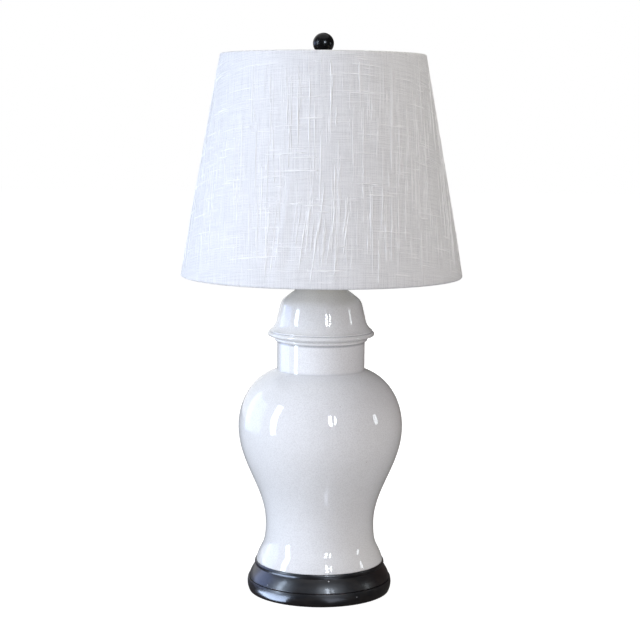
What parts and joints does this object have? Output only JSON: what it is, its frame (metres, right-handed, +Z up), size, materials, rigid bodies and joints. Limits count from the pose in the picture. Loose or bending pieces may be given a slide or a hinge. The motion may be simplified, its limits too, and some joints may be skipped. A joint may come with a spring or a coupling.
{
  "type": "table lamp",
  "caption": "Table lamp made from a lidded baluster jar of white glazed ceramic on a black turned wooden base, with a tapered linen drum shade and a ball finial.",
  "frame": {"origin": "centre of the base's underside, on the surface that the lamp stands on", "axes": "+Z up along the lamp's axis, the front faces -Y, the cord inlet is at +Y"},
  "size_m": [0.3548, 0.3548, 0.7083],
  "materials": {
    "felt": "dark wool felt",
    "black_wood": "turned wood, ebonised and satin lacquered",
    "black_plastic": "moulded, satin",
    "knob_plastic": "turned phenolic, glossy",
    "steel": "zinc plated",
    "white_glaze": "high gloss white glaze over white body",
    "brass": "lacquered, satin",
    "paper": "vulcanised fibre",
    "aluminium": "drawn, satin",
    "black_glass": "opaque black glass",
    "frosted_glass": "inside frosted",
    "clear_glass": "clear",
    "tungsten": "drawn wire",
    "nickel": "bright plated wire",
    "shade_wire": "white enamelled wire",
    "shade_backing": "white styrene sheet",
    "white_linen": "slub linen, stretched and glued to its backing",
    "black_finial": "black, satin"
  },
  "bodies": {
    "stand": {"felt_pad": "felt", "base": "black_wood", "cord_bushing": "black_plastic", "base_washer": "steel", "base_lock_washer": "steel", "base_nut": "steel", "threaded_rod": "steel", "jar_body": "white_glaze", "jar_lid": "white_glaze", "vase_cap": "brass", "check_ring": "brass", "lamp_neck": "brass", "harp_saddle": "nickel", "socket_cap": "brass", "socket_set_screw": "steel", "socket_shell": "brass", "socket_insulator": "paper", "socket_body": "black_plastic", "terminal_screws": "brass", "socket_screw_shell": "brass", "socket_contact": "brass"},
    "switch": {"switch_shaft": "brass", "switch_knob": "knob_plastic"},
    "bulb_tip": {"bulb_contact": "brass"},
    "bulb": {"bulb_insulator": "black_glass", "bulb_base": "aluminium", "bulb_glass": "frosted_glass", "bulb_stem": "clear_glass", "bulb_filament": "tungsten"},
    "harp_frame": {"harp": "nickel", "harp_stud": "nickel"},
    "left_sleeve": {"harp_sleeve_left": "nickel"},
    "right_sleeve": {"harp_sleeve_right": "nickel"},
    "shade": {"shade_washer": "shade_wire", "shade_top_ring": "shade_wire", "shade_spoke_back": "shade_wire", "shade_spoke_left": "shade_wire", "shade_spoke_right": "shade_wire", "shade_bottom_ring": "shade_wire", "shade_liner": "shade_backing", "shade_cover": "white_linen"},
    "finial_thread": {"finial_insert": "brass"},
    "finial": {"finial_ball": "black_finial"}
  },
  "joints": [
    {"name": "switch_turn", "type": "hinge", "parent": "stand", "child": "switch", "pos_m": [0, -0.03, 0.465], "axis": [0, -1, 0], "continuous": true},
    {"name": "bulb_lift", "type": "slide", "parent": "stand", "child": "bulb_tip", "axis": [0, 0, 1], "range_m": [0, 0.0201]},
    {"name": "bulb_turn", "type": "hinge", "parent": "bulb_tip", "child": "bulb", "pos_m": [0, 0, 0.4767], "axis": [0, 0, 1], "range_deg": [0, 1980]},
    {"name": "harp_lift", "type": "slide", "parent": "stand", "child": "harp_frame", "axis": [0, 0, 1], "range_m": [0, 0.025]},
    {"name": "left_sleeve_lift", "type": "slide", "parent": "harp_frame", "child": "left_sleeve", "axis": [0, 0, 1], "range_m": [0, 0.014]},
    {"name": "right_sleeve_lift", "type": "slide", "parent": "harp_frame", "child": "right_sleeve", "axis": [0, 0, 1], "range_m": [0, 0.014]},
    {"name": "shade_turn", "type": "hinge", "parent": "harp_frame", "child": "shade", "pos_m": [0, 0, 0.6696], "axis": [0, 0, 1], "continuous": true},
    {"name": "finial_lift", "type": "slide", "parent": "harp_frame", "child": "finial_thread", "axis": [0, 0, 1], "range_m": [0, 0.0095]},
    {"name": "finial_turn", "type": "hinge", "parent": "finial_thread", "child": "finial", "pos_m": [0, 0, 0.6713], "axis": [0, 0, 1], "range_deg": [0, 3600]}
  ],
  "couplings": [
    {"joint": "bulb_lift", "follows": "bulb_turn", "m_per_rad": 0.00057773},
    {"joint": "finial_lift", "follows": "finial_turn", "m_per_rad": 0.00014961}
  ]
}
